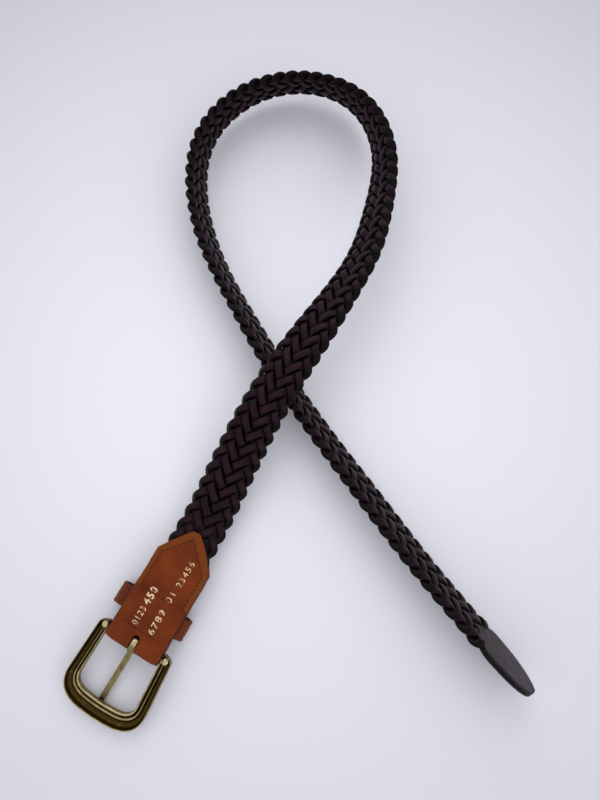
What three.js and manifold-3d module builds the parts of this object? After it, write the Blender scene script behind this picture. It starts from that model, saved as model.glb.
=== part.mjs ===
// A braided leather belt with a pin buckle, lying back face up in one open loop. The buckle end and
// the tail end cross and point the same way, and the strap stands on its inner edge round the loop.
// Millimetres, +Z up. The buckle tab lies along +Y, the buckle's bar along X, and the origin is the
// middle of the keeper's flat underside, on the surface that the belt lies on.

import * as THREE from 'three';
import { mergeVertices } from 'three/addons/utils/BufferGeometryUtils.js';
import Module from 'manifold-3d';

const wasm = await Module();
wasm.setup();

// Fit
const FIT_GAP = 0.3;

// Braided strap, measured along its middle from the buckle's bar to the end of the tail tip
const STRAP_LENGTH = 889.6;
const STRAP_WIDTH = 30.2;
const STRAP_THICKNESS = 5.2;
const SCALLOP_PITCH = 8.7;
const SCALLOP_DEPTH = 0.9;
const BRAID_START = 29;
const CROSSING_GAP = 1.8;
const CROSSING_ROLL = 60;

// Buckle tab: one strip of leather folded round the bar
const LEATHER = 1.6;
const TAB_WIDTH = 32.4;
const TAB_LENGTH = 68.6;
const TAB_POINT = 17;
const TAB_POINT_BULGE = 1.2;
const TAB_APEX_WIDTH = 4;
const TAB_APEX_OFFSET = -1.2;
const SLOT_WIDTH = 4.4;
const SLOT_BACK_REACH = 4.6;
const SLOT_FRONT_REACH = 8;

// Keeper loop under the tab, with room for the belt's tail
const KEEPER_WIDTH = 11.5;
const KEEPER_FROM_FOLD = 22;
const KEEPER_OVERHANG = 5.1;
const KEEPER_END_OVERLAP = 30;
const TAIL_ROOM = 4.8;

// Buckle frame, measured from the bar's axis
const BAR_DIAMETER = 3.4;
const WINDOW_AT_BAR = 33.4;
const WINDOW_AT_FOOT = 36.1;
const WINDOW_LENGTH = 33.9;
const ARM_AT_BAR = 5.9;
const ARM_AT_FOOT = 7.4;
const FOOT_BAR = 9.1;
const WINDOW_CORNER = 8.4;
const FRAME_CORNER = 16;
const FOOT_BOW = 1.3;
const FRAME_THICKNESS = 4.5;
const ARM_END_LENGTH = 3.6;

// Prong
const PRONG_WIDTH = 3.1;
const PRONG_THICKNESS = 2.1;
const PRONG_CURL = 1.6;
const PRONG_LENGTH = 41.9;
const PRONG_STRAIGHT = 17;
const PRONG_END_LENGTH = 4.3;

// Tail tip: two layers of leather over the end of the braid
const TIP_LENGTH = 45;
const TIP_WIDTH = 29.8;
const TIP_LEATHER = 1.5;
const TIP_LAP = 13;
const TIP_ROUND = 20;

// Levels above the surface, and places along Y
const TAB_GAP = BAR_DIAMETER + 2 * FIT_GAP;
const TAB_FRONT = LEATHER + TAIL_ROOM;
const BAR_HEIGHT = TAB_FRONT + LEATHER + TAB_GAP / 2;
const FOLD_RADIUS = TAB_GAP / 2 + LEATHER;
const BAR_Y = FOLD_RADIUS - KEEPER_FROM_FOLD;
const PRESSED_THICKNESS = TAB_GAP - 2 * FIT_GAP;
const TAB_REACH = TAB_LENGTH - FOLD_RADIUS;

// Height that the upper leg needs to pass over the lower leg's raised edge
const CROSSING_HEIGHT =
  STRAP_WIDTH * Math.sin(THREE.MathUtils.degToRad(CROSSING_ROLL)) + STRAP_THICKNESS / 2 + CROSSING_GAP;

// How the strap lies, at equal steps from the tab's point to the tail's end. turn: degrees that it
// has turned to the left; roll: degrees that its outer edge is raised; lift: height of its lowest
// edge, as a share of the crossing height.
const ROUTE = [
  { turn: 1, roll: 0, lift: (BAR_HEIGHT - STRAP_THICKNESS / 2) / CROSSING_HEIGHT },
  { turn: 4, roll: 1, lift: 0.46 },
  { turn: -2, roll: 9, lift: 0.82 },
  { turn: -4, roll: 21, lift: 0.97 },
  { turn: -1.5, roll: 40, lift: 0.82 },
  { turn: 13, roll: 50, lift: 0.59 },
  { turn: 22, roll: 61, lift: 0.39 },
  { turn: 48, roll: 83, lift: 0.25 },
  { turn: 91, roll: 106, lift: 0.2 },
  { turn: 133, roll: 107, lift: 0.14 },
  { turn: 169, roll: 94, lift: 0.06 },
  { turn: 205, roll: 78, lift: 0.02 },
  { turn: 224, roll: 69, lift: 0 },
  { turn: 236.5, roll: 67, lift: 0 },
  { turn: 239.5, roll: 63, lift: 0 },
  { turn: 242.5, roll: 60, lift: 0 },
  { turn: 246, roll: 60, lift: 0 },
  { turn: 246, roll: 58, lift: 0 },
  { turn: 247.5, roll: 59, lift: 0 },
  { turn: 250, roll: 61, lift: 0 },
  { turn: 251, roll: 65, lift: 0 },
];
const ROUTE_STEPS = 1200;

const brass = { color: 0x8f7a4a, roughness: 0.42, metalness: 1 };
const tanLeather = { color: 0x7d3b1f, roughness: 0.5, metalness: 0 };
const darkLeather = { color: 0x2b2022, roughness: 0.45, metalness: 0 };

/** Value that eases from 0 to 1 while x goes from start to end. */
function ease(x, start, end) {
  return THREE.MathUtils.smoothstep(x, start, end);
}

/** One column of ROUTE at a share of the way, as a smooth curve through its rows. */
function routeValue(column, share) {
  const last = ROUTE.length - 1;
  const place = THREE.MathUtils.clamp(share, 0, 1) * last;
  const row = Math.min(Math.floor(place), last - 1);
  const u = place - row;
  const slope = (i) => (i <= 0 || i >= last ? 0 : (ROUTE[i + 1][column] - ROUTE[i - 1][column]) / 2);
  const from = ROUTE[row][column];
  const to = ROUTE[row + 1][column];
  const bend = u * u * (3 - 2 * u);
  return from + (to - from) * bend + slope(row) * u * (1 - u) ** 2 - slope(row + 1) * u * u * (1 - u);
}

/** Half the thickness of the braid: it is pressed flat inside the tab and inside the tail tip. */
function braidHalfThickness(along) {
  const rampLength = STRAP_WIDTH / 2;
  const tipStart = STRAP_LENGTH - TIP_LENGTH;
  const full = Math.min(
    ease(along, TAB_REACH, TAB_REACH + rampLength),
    1 - ease(along, tipStart - rampLength, tipStart - FIT_GAP),
  );
  return THREE.MathUtils.lerp(PRESSED_THICKNESS, STRAP_THICKNESS, full) / 2;
}

/** Height of the strap's middle above its lowest edge, for a roll in radians. */
function restHeight(along, roll) {
  const braid = Math.hypot((STRAP_WIDTH / 2) * Math.sin(roll), (STRAP_THICKNESS / 2) * Math.cos(roll));
  const tipStack = PRESSED_THICKNESS / 2 + FIT_GAP + TIP_LEATHER;
  const tip = (TIP_WIDTH / 2) * Math.sin(roll) + tipStack * Math.cos(roll);
  const tipStart = STRAP_LENGTH - TIP_LENGTH;
  return THREE.MathUtils.lerp(braid, tip, ease(along, tipStart - TIP_LENGTH, tipStart));
}

/** Places and directions along the strap: point, along, across to the outer edge, out of the back. */
function layRoute() {
  const step = STRAP_LENGTH / ROUTE_STEPS;
  const point = new THREE.Vector3(0, BAR_Y, BAR_HEIGHT);
  const stations = [];
  for (let i = 0; i <= ROUTE_STEPS; i += 1) {
    const along = i * step;
    const share = (along - TAB_REACH) / (STRAP_LENGTH - TAB_REACH);
    const heading = Math.PI / 2 + THREE.MathUtils.degToRad(routeValue('turn', share));
    const roll = THREE.MathUtils.degToRad(routeValue('roll', share));
    const height = routeValue('lift', share) * CROSSING_HEIGHT + restHeight(along, roll);
    const climb = i === 0 ? 0 : height - point.z;
    const level = Math.sqrt(step * step - climb * climb);
    if (i > 0) {
      point.x += Math.cos(heading) * level;
      point.y += Math.sin(heading) * level;
    }
    point.z = height;
    const forward = new THREE.Vector3(Math.cos(heading) * level, Math.sin(heading) * level, climb).normalize();
    const right = new THREE.Vector3(Math.sin(heading), -Math.cos(heading), 0);
    const up = new THREE.Vector3().crossVectors(right, forward);
    const across = right.clone().multiplyScalar(Math.cos(roll)).addScaledVector(up, Math.sin(roll));
    const back = new THREE.Vector3().crossVectors(across, forward);
    stations.push({ point: point.clone(), across, back });
  }
  return stations;
}

const route = layRoute();

/** Point of the strap at a distance along it, moved across it and out of its back. */
function strapPoint(along, acrossBy, backBy) {
  const place = (along / STRAP_LENGTH) * ROUTE_STEPS;
  const i = Math.min(Math.floor(place), ROUTE_STEPS - 1);
  const u = place - i;
  const point = route[i].point.clone().lerp(route[i + 1].point, u);
  const across = route[i].across.clone().lerp(route[i + 1].across, u).normalize();
  const back = route[i].back.clone().lerp(route[i + 1].back, u).normalize();
  return point.addScaledVector(across, acrossBy).addScaledVector(back, backBy);
}

/** Closed skin through rings of points, each ring turning anticlockwise round the way they follow. */
function skin(rings, capOutline) {
  const size = capOutline.length;
  const index = [];
  for (let ring = 0; ring < rings.length - 1; ring += 1) {
    for (let j = 0; j < size; j += 1) {
      const a = ring * size + j;
      const b = ring * size + ((j + 1) % size);
      index.push(a, b, b + size, a, b + size, a + size);
    }
  }
  const lastRing = (rings.length - 1) * size;
  for (const [a, b, c] of THREE.ShapeUtils.triangulateShape(capOutline, [])) {
    index.push(a, c, b);
    index.push(lastRing + a, lastRing + b, lastRing + c);
  }
  const geometry = new THREE.BufferGeometry().setFromPoints(rings.flat());
  geometry.setIndex(index);
  geometry.computeVertexNormals();
  return geometry;
}

/** Solid of a closed geometry, for joining and cutting. */
function solidOf(geometry) {
  const bare = geometry.clone();
  bare.deleteAttribute('normal');
  bare.deleteAttribute('uv');
  const merged = mergeVertices(bare);
  return new wasm.Manifold(
    new wasm.Mesh({
      numProp: 3,
      vertProperties: new Float32Array(merged.attributes.position.array),
      triVerts: new Uint32Array(merged.index.array),
    }),
  );
}

/** Geometry of a solid. */
function geometryOf(solid) {
  const mesh = solid.getMesh();
  const geometry = new THREE.BufferGeometry();
  geometry.setAttribute('position', new THREE.BufferAttribute(mesh.vertProperties, 3));
  geometry.setIndex(new THREE.BufferAttribute(mesh.triVerts, 1));
  geometry.computeVertexNormals();
  return geometry;
}

/** Prism of a shape drawn in Y and Z, centred on X. */
function prismAlongX(shape, width, curveSegments) {
  const geometry = new THREE.ExtrudeGeometry(shape, { depth: width, bevelEnabled: false, curveSegments });
  geometry.translate(0, 0, -width / 2);
  const basis = new THREE.Matrix4().makeBasis(
    new THREE.Vector3(0, 1, 0),
    new THREE.Vector3(0, 0, 1),
    new THREE.Vector3(1, 0, 0),
  );
  return geometry.applyMatrix4(basis);
}

/** Prism of a shape drawn in X and Z, centred on Y. */
function prismAlongY(shape, width, curveSegments) {
  const geometry = new THREE.ExtrudeGeometry(shape, { depth: width, bevelEnabled: false, curveSegments });
  geometry.translate(0, 0, -width / 2);
  return geometry.rotateX(Math.PI / 2);
}

/** Prism of a shape drawn in X and Y, from one level to another. */
function prismUp(shape, low, high, curveSegments) {
  const geometry = new THREE.ExtrudeGeometry(shape, { depth: high - low, bevelEnabled: false, curveSegments });
  return geometry.translate(0, 0, low);
}

/** The braid as one band: six-sided sections, with a scallop at each edge for every lace that turns. */
function braidedStrap() {
  const end = STRAP_LENGTH - TIP_LENGTH + TIP_LAP;
  const perScallop = 4;
  const count = Math.round(((end - BRAID_START) / SCALLOP_PITCH) * perScallop);
  const flatShare = 0.7;
  const rings = [];
  for (let i = 0; i <= count; i += 1) {
    const along = THREE.MathUtils.lerp(BRAID_START, end, i / count);
    const phase = (i / perScallop) * Math.PI;
    const outer = STRAP_WIDTH / 2 - SCALLOP_DEPTH * (1 - Math.abs(Math.sin(phase)));
    const inner = STRAP_WIDTH / 2 - SCALLOP_DEPTH * (1 - Math.abs(Math.cos(phase)));
    const half = braidHalfThickness(along);
    rings.push([
      strapPoint(along, -inner, 0),
      strapPoint(along, -inner * flatShare, -half),
      strapPoint(along, outer * flatShare, -half),
      strapPoint(along, outer, 0),
      strapPoint(along, outer * flatShare, half),
      strapPoint(along, -inner * flatShare, half),
    ].reverse());
  }
  const cap = [
    new THREE.Vector2(1, -flatShare),
    new THREE.Vector2(1, flatShare),
    new THREE.Vector2(0, 1),
    new THREE.Vector2(-1, flatShare),
    new THREE.Vector2(-1, -flatShare),
    new THREE.Vector2(0, -1),
  ];
  return skin(rings, cap);
}

/** The two layers of the tail tip, each bent inwards past the end of the braid. */
function tipLayer(side) {
  const start = STRAP_LENGTH - TIP_LENGTH;
  const braidEnd = start + TIP_LAP + FIT_GAP;
  const roundStart = STRAP_LENGTH - TIP_ROUND;
  const straightRings = 6;
  const roundRings = 9;
  const places = [];
  for (let i = 0; i < straightRings; i += 1) {
    places.push(THREE.MathUtils.lerp(start, roundStart, i / straightRings));
  }
  for (let i = 0; i <= roundRings; i += 1) {
    places.push(roundStart + TIP_ROUND * 0.995 * Math.sin(((i / roundRings) * Math.PI) / 2));
  }
  const rings = places.map((along) => {
    const round = Math.max(0, (along - roundStart) / TIP_ROUND);
    const half = (TIP_WIDTH / 2) * Math.sqrt(1 - round * round);
    const gap = THREE.MathUtils.lerp(PRESSED_THICKNESS / 2 + FIT_GAP, FIT_GAP / 2, ease(along, braidEnd, roundStart));
    const near = side * gap;
    const far = side * (gap + TIP_LEATHER);
    const low = Math.min(near, far);
    const high = Math.max(near, far);
    return [
      strapPoint(along, -half, low),
      strapPoint(along, -half, high),
      strapPoint(along, half, high),
      strapPoint(along, half, low),
    ];
  });
  const cap = [
    new THREE.Vector2(-1, -1),
    new THREE.Vector2(1, -1),
    new THREE.Vector2(1, 1),
    new THREE.Vector2(-1, 1),
  ];
  return skin(rings, cap);
}

/** Slot for the prong, from outside the fold to a round end at the given reach past the bar. */
function slotShape(reach) {
  const half = SLOT_WIDTH / 2;
  const shape = new THREE.Shape();
  shape.moveTo(-half, BAR_Y - 2 * FOLD_RADIUS);
  shape.lineTo(half, BAR_Y - 2 * FOLD_RADIUS);
  shape.lineTo(half, BAR_Y + reach - half);
  shape.absarc(0, BAR_Y + reach - half, half, 0, Math.PI, false);
  shape.lineTo(-half, BAR_Y - 2 * FOLD_RADIUS);
  return shape;
}

/** The tab: a strip folded round the bar, both layers cut to the same bluntly pointed end. */
function buckleTab() {
  const inner = TAB_GAP / 2;
  const end = BAR_Y + TAB_REACH;
  const side = new THREE.Shape();
  side.moveTo(end, BAR_HEIGHT + inner);
  side.lineTo(end, BAR_HEIGHT + FOLD_RADIUS);
  side.lineTo(BAR_Y, BAR_HEIGHT + FOLD_RADIUS);
  side.absarc(BAR_Y, BAR_HEIGHT, FOLD_RADIUS, Math.PI / 2, -Math.PI / 2, false);
  side.lineTo(end, BAR_HEIGHT - FOLD_RADIUS);
  side.lineTo(end, BAR_HEIGHT - inner);
  side.lineTo(BAR_Y, BAR_HEIGHT - inner);
  side.absarc(BAR_Y, BAR_HEIGHT, inner, -Math.PI / 2, Math.PI / 2, true);
  side.lineTo(end, BAR_HEIGHT + inner);
  const strip = solidOf(prismAlongX(side, TAB_WIDTH, 9));

  const half = TAB_WIDTH / 2;
  const shoulder = end - TAB_POINT;
  const apexHalf = TAB_APEX_WIDTH / 2;
  const middleX = (half + apexHalf) / 2 + TAB_POINT_BULGE;
  const middleY = (shoulder + end) / 2 + TAB_POINT_BULGE;
  const outline = new THREE.Shape();
  outline.moveTo(-half, BAR_Y - 2 * FOLD_RADIUS);
  outline.lineTo(half, BAR_Y - 2 * FOLD_RADIUS);
  outline.lineTo(half, shoulder);
  outline.quadraticCurveTo(middleX, middleY, TAB_APEX_OFFSET + apexHalf, end);
  outline.lineTo(TAB_APEX_OFFSET - apexHalf, end);
  outline.quadraticCurveTo(-middleX, middleY, -half, shoulder);
  outline.lineTo(-half, BAR_Y - 2 * FOLD_RADIUS);

  const top = BAR_HEIGHT + 2 * FOLD_RADIUS;
  const bottom = BAR_HEIGHT - 2 * FOLD_RADIUS;
  const backSlot = solidOf(prismUp(slotShape(SLOT_BACK_REACH), BAR_HEIGHT - FIT_GAP, top, 8));
  const frontSlot = solidOf(prismUp(slotShape(SLOT_FRONT_REACH), bottom, BAR_HEIGHT, 8));
  const pointed = strip.intersect(solidOf(prismUp(outline, bottom, top, 8)));
  return geometryOf(pointed.subtract(backSlot).subtract(frontSlot));
}

/** A flat loop: straight along the top and bottom, half round at the sides. */
function addLoop(path, halfWidth, low, high) {
  const radius = (high - low) / 2;
  const middle = low + radius;
  path.moveTo(-halfWidth + radius, low);
  path.lineTo(halfWidth - radius, low);
  path.absarc(halfWidth - radius, middle, radius, -Math.PI / 2, Math.PI / 2, false);
  path.lineTo(-halfWidth + radius, high);
  path.absarc(-halfWidth + radius, middle, radius, Math.PI / 2, (3 * Math.PI) / 2, false);
  return path;
}

/** The keeper: a strip bent into a loop round the tab's front layer, its doubled ends between the layers. */
function keeperLoop() {
  const holeLow = LEATHER;
  const holeHigh = TAB_FRONT + LEATHER + FIT_GAP;
  const outerHalf = TAB_WIDTH / 2 + KEEPER_OVERHANG;
  const loop = addLoop(new THREE.Shape(), outerHalf, 0, holeHigh + LEATHER);
  const hole = addLoop(new THREE.Shape(), outerHalf - LEATHER, holeLow, holeHigh);
  const doubled = new THREE.BoxGeometry(KEEPER_END_OVERLAP, KEEPER_WIDTH, PRESSED_THICKNESS);
  doubled.translate(0, 0, holeHigh + PRESSED_THICKNESS / 2);
  const outside = solidOf(prismAlongY(loop, KEEPER_WIDTH, 8)).add(solidOf(doubled));
  return geometryOf(outside.subtract(solidOf(prismAlongY(hole, 2 * KEEPER_WIDTH, 8))));
}

/** U-shaped line of the frame, in even steps of each arm, each corner and the foot. */
function frameLine(halfAtBar, halfAtFoot, depth, corner) {
  const steps = [6, 10, 12, 10, 6];
  const path = new THREE.Path();
  const cornerY = -(depth - corner);
  const footY = -(depth - FOOT_BOW);
  const armX = THREE.MathUtils.lerp(halfAtBar, halfAtFoot, (depth - corner) / depth);
  path.moveTo(halfAtBar, 0);
  path.lineTo(armX, cornerY);
  path.quadraticCurveTo(halfAtFoot, footY, halfAtFoot - corner, footY);
  path.quadraticCurveTo(0, -(depth + FOOT_BOW), corner - halfAtFoot, footY);
  path.quadraticCurveTo(-halfAtFoot, footY, -armX, cornerY);
  path.lineTo(-halfAtBar, 0);
  const stretches = path.curves.map((curve, i) => curve.getSpacedPoints(steps[i]).slice(1));
  return [new THREE.Vector2(halfAtBar, 0), ...stretches.flat()];
}

// Section of the frame. across: share from the window to the outside; rise: share of half the
// thickness, up to the back. The front is domed, and the back is a channel between two thin lips.
const FRAME_SECTION = [
  { across: 0, rise: -0.4 },
  { across: 0.22, rise: -0.86 },
  { across: 0.5, rise: -1 },
  { across: 0.78, rise: -0.86 },
  { across: 1, rise: -0.4 },
  { across: 1, rise: 0.86 },
  { across: 0.93, rise: 1 },
  { across: 0.84, rise: 0.86 },
  { across: 0.76, rise: -0.2 },
  { across: 0.48, rise: -0.3 },
  { across: 0.36, rise: 0.5 },
  { across: 0.18, rise: 0.5 },
  { across: 0.1, rise: 0.9 },
  { across: 0, rise: 0.8 },
];

/** The frame lies about its bar: bar along X at the origin, foot bar toward -Y, hollow back up. */
function buckleFrame() {
  const insideHalf = WINDOW_AT_BAR / 2;
  const footHalf = WINDOW_AT_FOOT / 2;
  const inside = frameLine(insideHalf, footHalf, WINDOW_LENGTH, WINDOW_CORNER);
  const outside = frameLine(
    insideHalf + ARM_AT_BAR,
    footHalf + ARM_AT_FOOT,
    WINDOW_LENGTH + FOOT_BAR,
    FRAME_CORNER,
  );
  const rings = inside.map((near, i) =>
    FRAME_SECTION.map(({ across, rise }) => {
      const point = near.clone().lerp(outside[i], across);
      return new THREE.Vector3(point.x, point.y, (rise * FRAME_THICKNESS) / 2);
    }),
  );
  const cap = FRAME_SECTION.map(({ across, rise }) => new THREE.Vector2(across, rise));
  const channel = solidOf(skin(rings, cap));

  const bar = new THREE.CylinderGeometry(BAR_DIAMETER / 2, BAR_DIAMETER / 2, WINDOW_AT_BAR + ARM_AT_BAR, 14);
  let frame = channel.add(solidOf(bar.rotateZ(Math.PI / 2)));
  const tabClearance = (WINDOW_AT_BAR - TAB_WIDTH) / 2 - FIT_GAP;
  const endHalf = (ARM_AT_BAR + tabClearance) / 2;
  for (const side of [-1, 1]) {
    const armEnd = new THREE.SphereGeometry(1, 16, 10);
    armEnd.scale(endHalf, ARM_END_LENGTH, (FRAME_THICKNESS / 2) * 1.1);
    armEnd.translate(side * (TAB_WIDTH / 2 + FIT_GAP + endHalf), 0, 0);
    frame = frame.add(solidOf(armEnd));
  }
  return geometryOf(frame);
}

// How far the prong's shank lies in front of the bar's axis: at the curl, and under the foot bar
const CURL_INSIDE = BAR_DIAMETER / 2 + FIT_GAP;
const SHANK_FRONT = FRAME_THICKNESS / 2 + FIT_GAP;

/**
 * The prong: a strip curled round the bar, its short end on the back. Its shank runs on level with
 * the curl and then slopes to pass in front of the foot bar.
 */
function buckleProng() {
  const curlOutside = CURL_INSIDE + PRONG_CURL;
  const shankEnd = -PRONG_LENGTH;
  const shankBend = -(WINDOW_LENGTH - PRONG_THICKNESS);
  const shape = new THREE.Shape();
  shape.moveTo(-PRONG_END_LENGTH, CURL_INSIDE);
  shape.lineTo(0, CURL_INSIDE);
  shape.absarc(0, 0, CURL_INSIDE, Math.PI / 2, -Math.PI / 2, true);
  shape.lineTo(-PRONG_STRAIGHT, -CURL_INSIDE);
  shape.lineTo(shankBend, -SHANK_FRONT);
  shape.lineTo(shankEnd, -SHANK_FRONT);
  shape.lineTo(shankEnd, -SHANK_FRONT - PRONG_THICKNESS / 2);
  shape.lineTo(shankEnd + PRONG_THICKNESS, -SHANK_FRONT - PRONG_THICKNESS);
  shape.lineTo(shankBend, -SHANK_FRONT - PRONG_THICKNESS);
  shape.lineTo(-PRONG_STRAIGHT, -curlOutside);
  shape.lineTo(0, -curlOutside);
  shape.absarc(0, 0, curlOutside, -Math.PI / 2, Math.PI / 2, false);
  shape.lineTo(-PRONG_END_LENGTH, curlOutside);
  shape.lineTo(-PRONG_END_LENGTH, CURL_INSIDE);
  return prismAlongX(shape, PRONG_WIDTH, 10);
}

/** Angle at which the frame droops from its bar until the prong's tip touches the surface. */
function frameDroop() {
  const depth = SHANK_FRONT + PRONG_THICKNESS;
  const reach = PRONG_LENGTH - PRONG_THICKNESS;
  return Math.asin(BAR_HEIGHT / Math.hypot(depth, reach)) - Math.atan2(depth, reach);
}

/** Named mesh with its own material. */
function piece(name, geometry, finish) {
  const mesh = new THREE.Mesh(geometry, new THREE.MeshStandardMaterial(finish));
  mesh.name = name;
  return mesh;
}

const buckle = new THREE.Group();
buckle.add(piece('buckle_frame', buckleFrame(), brass), piece('buckle_prong', buckleProng(), brass));
buckle.position.set(0, BAR_Y, BAR_HEIGHT);
buckle.rotation.x = frameDroop();

const belt = new THREE.Group();
belt.add(
  piece('braided_strap', braidedStrap(), darkLeather),
  piece('tip_back', tipLayer(1), darkLeather),
  piece('tip_front', tipLayer(-1), darkLeather),
  piece('buckle_tab', buckleTab(), tanLeather),
  piece('keeper_loop', keeperLoop(), tanLeather),
  buckle,
);

export default belt;
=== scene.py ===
import math

import bmesh
import bpy
import numpy as np
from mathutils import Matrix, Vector


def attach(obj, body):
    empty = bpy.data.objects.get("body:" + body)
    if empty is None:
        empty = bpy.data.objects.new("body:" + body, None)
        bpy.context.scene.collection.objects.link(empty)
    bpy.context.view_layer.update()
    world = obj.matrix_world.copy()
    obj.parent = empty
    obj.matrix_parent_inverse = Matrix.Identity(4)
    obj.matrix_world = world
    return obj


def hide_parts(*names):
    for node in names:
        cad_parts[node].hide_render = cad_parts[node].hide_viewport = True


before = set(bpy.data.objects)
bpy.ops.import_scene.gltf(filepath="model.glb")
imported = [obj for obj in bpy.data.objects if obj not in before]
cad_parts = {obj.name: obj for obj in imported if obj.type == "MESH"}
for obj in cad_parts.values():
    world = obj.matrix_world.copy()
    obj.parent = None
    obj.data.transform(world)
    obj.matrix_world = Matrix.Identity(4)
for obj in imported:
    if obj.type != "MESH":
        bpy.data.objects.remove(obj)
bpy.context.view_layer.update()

# Camera, light and floor. The belt is seen from almost straight above, a little from the buckle's
# side, on a pale matt sheet. One wide soft light stands far off beyond the loop, another on the
# right, and an even light comes from all round.
scene = bpy.context.scene
scene.view_settings.view_transform = "Standard"
scene.view_settings.look = "None"

camera_data = bpy.data.cameras.new("camera")
camera_data.lens = 27.09
camera = bpy.data.objects.new("camera", camera_data)
camera.location = (0.0559, 0.0604, 0.3530)
camera.rotation_euler = (math.radians(15.24), 0, math.radians(29.82))
scene.collection.objects.link(camera)
scene.camera = camera


def soft_light(name, place, target, size, power, colour):
    """Square area light that faces a target."""
    data = bpy.data.lights.new(name, "AREA")
    data.size = size
    data.energy = power
    data.color = colour
    light = bpy.data.objects.new(name, data)
    light.location = place
    light.rotation_euler = (Vector(target) - Vector(place)).to_track_quat("-Z", "Y").to_euler()
    scene.collection.objects.link(light)


BELT_MIDDLE = (0.03, 0.14, 0.0)
soft_light("far_light", (-0.75, 1.45, 1.20), BELT_MIDDLE, size=1.4, power=6.5, colour=(1.0, 0.99, 0.97))
soft_light("right_light", (1.45, -0.25, 1.10), BELT_MIDDLE, size=1.0, power=3.5, colour=(0.98, 0.99, 1.0))

world = bpy.data.worlds.new("studio")
world.use_nodes = True
world.node_tree.nodes["Background"].inputs["Color"].default_value = (0.93, 0.93, 1.0, 1)
world.node_tree.nodes["Background"].inputs["Strength"].default_value = 1.0
scene.world = world


def start_finish(name, metallic=0.0, roughness=0.5, specular=0.5):
    """New material: the material, its node tree and its shader."""
    material = bpy.data.materials.new(name)
    material.use_nodes = True
    shader = material.node_tree.nodes["Principled BSDF"]
    shader.inputs["Metallic"].default_value = metallic
    shader.inputs["Roughness"].default_value = roughness
    shader.inputs["Specular IOR Level"].default_value = specular
    return material, material.node_tree, shader


def add_node(tree, kind, inputs, **settings):
    """New node: an input is given a plain value, or is linked where it gets another node's output."""
    node = tree.nodes.new(kind)
    for key, value in settings.items():
        setattr(node, key, value)
    for key, value in inputs.items():
        if isinstance(value, bpy.types.NodeSocket):
            tree.links.new(value, node.inputs[key])
        else:
            node.inputs[key].default_value = value
    return node


def noise(tree, scale, detail=3.0, rough=0.5):
    """Cloudy pattern from 0 to 1 on Object coordinates, its scale in turns per metre."""
    place = add_node(tree, "ShaderNodeTexCoord", {}).outputs["Object"]
    inputs = {"Vector": place, "Scale": scale, "Detail": detail, "Roughness": rough}
    return add_node(tree, "ShaderNodeTexNoise", inputs).outputs["Fac"]


def spread(tree, value, low, high, to_low=0.0, to_high=1.0):
    """Value moved from the range low to high into another range, and kept inside it."""
    inputs = {"Value": value, "From Min": low, "From Max": high, "To Min": to_low, "To Max": to_high}
    return add_node(tree, "ShaderNodeMapRange", inputs).outputs["Result"]


def blend_colours(tree, share, first, second):
    """First colour where share is 0 and second colour where it is 1. The node's colours are its
    inputs 6 and 7 and its output 2."""
    node = add_node(tree, "ShaderNodeMix", {0: share, 6: first, 7: second}, data_type="RGBA")
    return node.outputs[2]


# Painted falloff of light: the paper is painted darker with distance from the loop, from one reach in
# metres to the other
FLOOR_REACH = 3.0
FLOOR_MIDDLE = (-0.01, 0.15, 0.0)
PAINTED_FALLOFF_START = 0.03
PAINTED_FALLOFF_END = 0.43
PAPER_LIT_NEAR = (0.865, 0.865, 0.90, 1)
PAPER_PAINTED_DIM = (0.465, 0.47, 0.495, 1)

floor_corners = np.array([(-1, -1), (1, -1), (1, 1), (-1, 1)]) * FLOOR_REACH
floor_mesh = bpy.data.meshes.new("floor")
floor_mesh.from_pydata([(x, y, 0) for x, y in floor_corners.tolist()], [], [(0, 1, 2, 3)])
floor = bpy.data.objects.new("floor", floor_mesh)
scene.collection.objects.link(floor)
floor_paper, tree, shader = start_finish("floor_paper", roughness=0.9, specular=0.2)
floor_place = add_node(tree, "ShaderNodeTexCoord", {}).outputs["Object"]
floor_ends = {0: floor_place, 1: FLOOR_MIDDLE}
floor_reach = add_node(tree, "ShaderNodeVectorMath", floor_ends, operation="DISTANCE")
# Painted falloff of light: the floor's colour darkens with distance from the loop's middle
painted_falloff = spread(tree, floor_reach.outputs["Value"], PAINTED_FALLOFF_START, PAINTED_FALLOFF_END)
floor_tint = blend_colours(tree, painted_falloff, PAPER_LIT_NEAR, PAPER_PAINTED_DIM)
tree.links.new(floor_tint, shader.inputs["Base Color"])
floor_mesh.materials.append(floor_paper)

# The braid: seven flat leather laces plaited two over, two under, with one over at each edge. Each
# lace zigzags from edge to edge and turns up round the edge, so that every turn is a scallop. The
# band lies in a crossed loop, its outer edge raised, and both ends run between stitched leather.

# All sizes from here on are in millimetres, and places along the strap are measured from the bar.
MM = 0.001
STRAP_LENGTH = 889.6
STRAP_WIDTH = 30.2
STRAP_THICKNESS = 5.2
PRESSED_THICKNESS = 3.4
BAR_Y = -18.4
BAR_HEIGHT = 10.0
TAB_REACH = 65.0
TIP_LENGTH = 45.0
TIP_WIDTH = 29.8
TIP_LEATHER = 1.5
FIT_GAP = 0.3

# Where the belt crosses itself, half the upper leg and some room lie over the leaning lower leg
TAIL_LEAN = math.radians(60)
CROSSING_ROOM = 1.8
CROSSING_HEIGHT = STRAP_WIDTH * math.sin(TAIL_LEAN) + STRAP_THICKNESS / 2 + CROSSING_ROOM

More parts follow.
